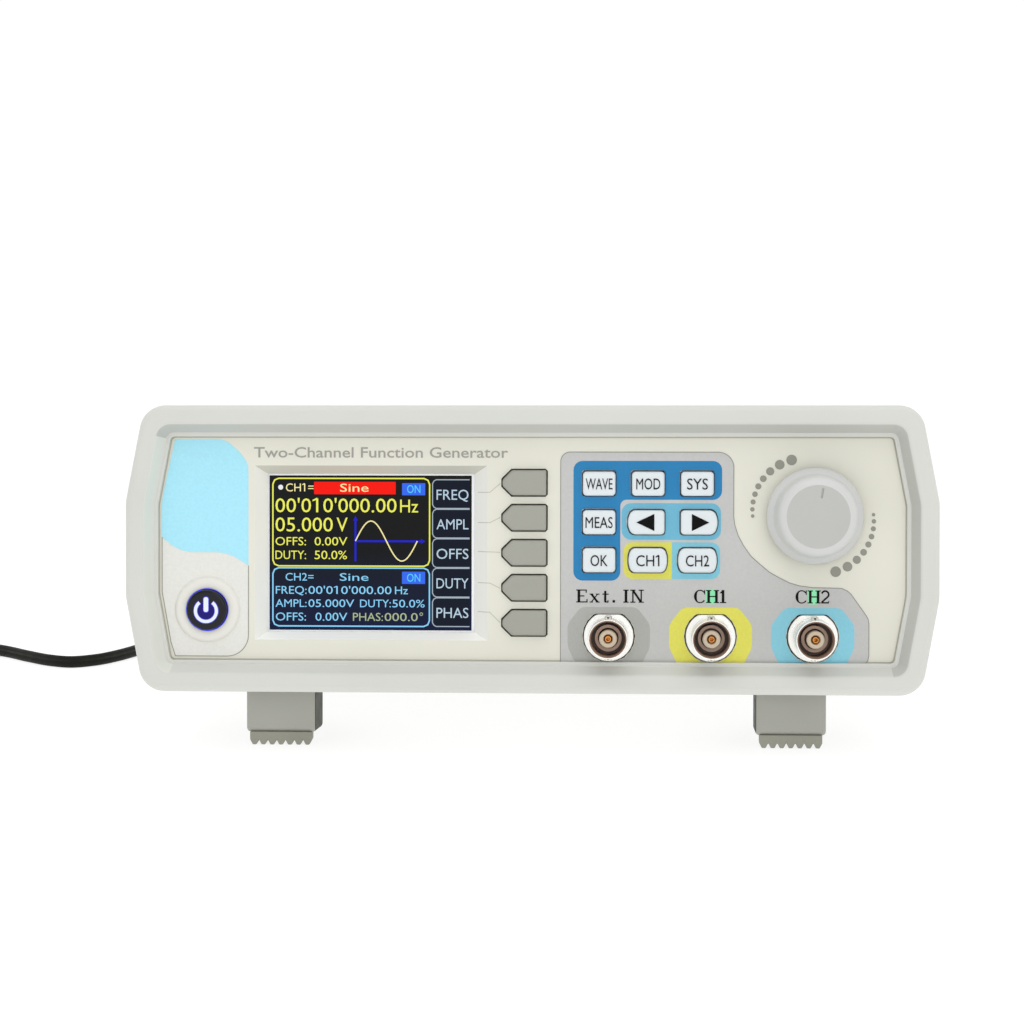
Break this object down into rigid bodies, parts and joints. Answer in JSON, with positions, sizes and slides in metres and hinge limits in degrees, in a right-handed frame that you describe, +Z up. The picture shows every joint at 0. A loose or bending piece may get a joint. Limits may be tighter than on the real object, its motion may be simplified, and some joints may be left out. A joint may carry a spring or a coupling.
{
  "type": "function generator",
  "caption": "Desktop two-channel function generator on fold-out tilt feet, with colour screen, keypad, rotary knob, BNC jacks and a small wall adapter on a lead.",
  "frame": {"origin": "on the table, under the middle of the case as it stands tilted on its open feet", "axes": "+X to the right of the front panel, +Y to the back, +Z up from the table; the front panel faces -Y and is tilted back 5.46 degrees"},
  "size_m": [0.373, 0.2759, 0.0872],
  "materials": {
    "shell_plastic": "fine satin moulding, warm light grey",
    "panel_plastic": "smooth cream panel with printed areas",
    "key_white": "satin white keycaps",
    "key_grey": "satin mid-grey keycaps",
    "foot_plastic": "satin mid-grey moulding",
    "knob_plastic": "satin light grey knob",
    "button_black": "gloss black cap with a white symbol",
    "light_ring": "translucent ring lit blue from behind",
    "black_plastic": "black moulding",
    "cover_glass": "clear acrylic over a dark colour screen",
    "display_module": "pressed steel frame",
    "circuit_board": "green solder mask",
    "encoder_metal": "machined",
    "nickel": "bright nickel plate",
    "ptfe": "ivory fluoropolymer",
    "gold_contact": "gold-plated contact",
    "rubber_foot": "soft matt rubber",
    "heatsink_aluminium": "natural extrusion",
    "ribbon": "grey flat cable",
    "screw_steel": "zinc-plated steel",
    "lead_black": "soft satin PVC",
    "adapter_black": "fine black texture"
  },
  "bodies": {
    "case": {"front_bezel": "shell_plastic", "rear_bezel": "shell_plastic", "top_cover": "shell_plastic", "bottom_cover": "shell_plastic", "front_panel": "panel_plastic", "rear_panel": "panel_plastic", "power_ring": "light_ring", "power_switch": "black_plastic", "dc_jack": "black_plastic", "ttl_header": "black_plastic", "display_lens": "cover_glass", "display_module": "display_module", "front_board": "circuit_board", "main_board": "circuit_board", "encoder_body": "encoder_metal", "bnc_body_1": "nickel", "bnc_body_2": "nickel", "bnc_body_3": "nickel", "usb_port": "nickel", "adapter_pins": "nickel", "bnc_insulator_1": "ptfe", "bnc_insulator_2": "ptfe", "bnc_insulator_3": "ptfe", "bnc_contact_1": "gold_contact", "bnc_contact_2": "gold_contact", "bnc_contact_3": "gold_contact", "rear_foot_left": "rubber_foot", "rear_foot_right": "rubber_foot", "heatsink": "heatsink_aluminium", "ribbon_cable": "ribbon", "case_screw_1": "screw_steel", "case_screw_2": "screw_steel", "case_screw_3": "screw_steel", "case_screw_4": "screw_steel", "power_cord": "lead_black", "power_cord_coil": "lead_black", "dc_plug": "lead_black", "adapter_body": "adapter_black"},
    "softkey_1_cap": {"softkey_1": "key_grey"},
    "softkey_2_cap": {"softkey_2": "key_grey"},
    "softkey_3_cap": {"softkey_3": "key_grey"},
    "softkey_4_cap": {"softkey_4": "key_grey"},
    "softkey_5_cap": {"softkey_5": "key_grey"},
    "key_wave_cap": {"key_wave": "key_white"},
    "key_mod_cap": {"key_mod": "key_white"},
    "key_sys_cap": {"key_sys": "key_white"},
    "key_meas_cap": {"key_meas": "key_white"},
    "key_left_cap": {"key_left": "key_white"},
    "key_right_cap": {"key_right": "key_white"},
    "key_ok_cap": {"key_ok": "key_white"},
    "key_ch1_cap": {"key_ch1": "key_white"},
    "key_ch2_cap": {"key_ch2": "key_white"},
    "power_cap": {"power_button": "button_black"},
    "encoder_push": {"encoder_plunger": "black_plastic"},
    "knob_and_shaft": {"knob": "knob_plastic", "encoder_shaft": "encoder_metal"},
    "left_tilt_foot": {"tilt_foot_left": "foot_plastic", "tilt_foot_pad_left": "foot_plastic"},
    "right_tilt_foot": {"tilt_foot_right": "foot_plastic", "tilt_foot_pad_right": "foot_plastic"}
  },
  "joints": [
    {"name": "softkey_1_press", "type": "slide", "parent": "case", "child": "softkey_1_cap", "axis": [0, 0.9955, -0.0952], "range_m": [0, 0.0006], "stiffness_N_per_m": 150, "springref_m": -0.001},
    {"name": "softkey_2_press", "type": "slide", "parent": "case", "child": "softkey_2_cap", "axis": [0, 0.9955, -0.0952], "range_m": [0, 0.0006], "stiffness_N_per_m": 150, "springref_m": -0.001},
    {"name": "softkey_3_press", "type": "slide", "parent": "case", "child": "softkey_3_cap", "axis": [0, 0.9955, -0.0952], "range_m": [0, 0.0006], "stiffness_N_per_m": 150, "springref_m": -0.001},
    {"name": "softkey_4_press", "type": "slide", "parent": "case", "child": "softkey_4_cap", "axis": [0, 0.9955, -0.0952], "range_m": [0, 0.0006], "stiffness_N_per_m": 150, "springref_m": -0.001},
    {"name": "softkey_5_press", "type": "slide", "parent": "case", "child": "softkey_5_cap", "axis": [0, 0.9955, -0.0952], "range_m": [0, 0.0006], "stiffness_N_per_m": 150, "springref_m": -0.001},
    {"name": "key_wave_press", "type": "slide", "parent": "case", "child": "key_wave_cap", "axis": [0, 0.9955, -0.0952], "range_m": [0, 0.0006], "stiffness_N_per_m": 150, "springref_m": -0.001},
    {"name": "key_mod_press", "type": "slide", "parent": "case", "child": "key_mod_cap", "axis": [0, 0.9955, -0.0952], "range_m": [0, 0.0006], "stiffness_N_per_m": 150, "springref_m": -0.001},
    {"name": "key_sys_press", "type": "slide", "parent": "case", "child": "key_sys_cap", "axis": [0, 0.9955, -0.0952], "range_m": [0, 0.0006], "stiffness_N_per_m": 150, "springref_m": -0.001},
    {"name": "key_meas_press", "type": "slide", "parent": "case", "child": "key_meas_cap", "axis": [0, 0.9955, -0.0952], "range_m": [0, 0.0006], "stiffness_N_per_m": 150, "springref_m": -0.001},
    {"name": "key_left_press", "type": "slide", "parent": "case", "child": "key_left_cap", "axis": [0, 0.9955, -0.0952], "range_m": [0, 0.0006], "stiffness_N_per_m": 150, "springref_m": -0.001},
    {"name": "key_right_press", "type": "slide", "parent": "case", "child": "key_right_cap", "axis": [0, 0.9955, -0.0952], "range_m": [0, 0.0006], "stiffness_N_per_m": 150, "springref_m": -0.001},
    {"name": "key_ok_press", "type": "slide", "parent": "case", "child": "key_ok_cap", "axis": [0, 0.9955, -0.0952], "range_m": [0, 0.0006], "stiffness_N_per_m": 150, "springref_m": -0.001},
    {"name": "key_ch1_press", "type": "slide", "parent": "case", "child": "key_ch1_cap", "axis": [0, 0.9955, -0.0952], "range_m": [0, 0.0006], "stiffness_N_per_m": 150, "springref_m": -0.001},
    {"name": "key_ch2_press", "type": "slide", "parent": "case", "child": "key_ch2_cap", "axis": [0, 0.9955, -0.0952], "range_m": [0, 0.0006], "stiffness_N_per_m": 150, "springref_m": -0.001},
    {"name": "power_press", "type": "slide", "parent": "case", "child": "power_cap", "axis": [0, 0.9955, -0.0952], "range_m": [0, 0.0012], "stiffness_N_per_m": 150, "springref_m": -0.001},
    {"name": "encoder_press", "type": "slide", "parent": "case", "child": "encoder_push", "axis": [0, 0.9955, -0.0952], "range_m": [0, 0.0005], "stiffness_N_per_m": 600, "springref_m": -0.001},
    {"name": "knob_turn", "type": "hinge", "parent": "encoder_push", "child": "knob_and_shaft", "pos_m": [0.0699, -0.08267, 0.06048], "axis": [0, 0.9955, -0.0952], "continuous": true},
    {"name": "left_tilt_foot_fold", "type": "hinge", "parent": "case", "child": "left_tilt_foot", "pos_m": [-0.064, -0.06192, 0.02003], "axis": [1, 0, 0], "range_deg": [0, 90]},
    {"name": "right_tilt_foot_fold", "type": "hinge", "parent": "case", "child": "right_tilt_foot", "pos_m": [0.0651, -0.06192, 0.02003], "axis": [1, 0, 0], "range_deg": [0, 90]}
  ]
}
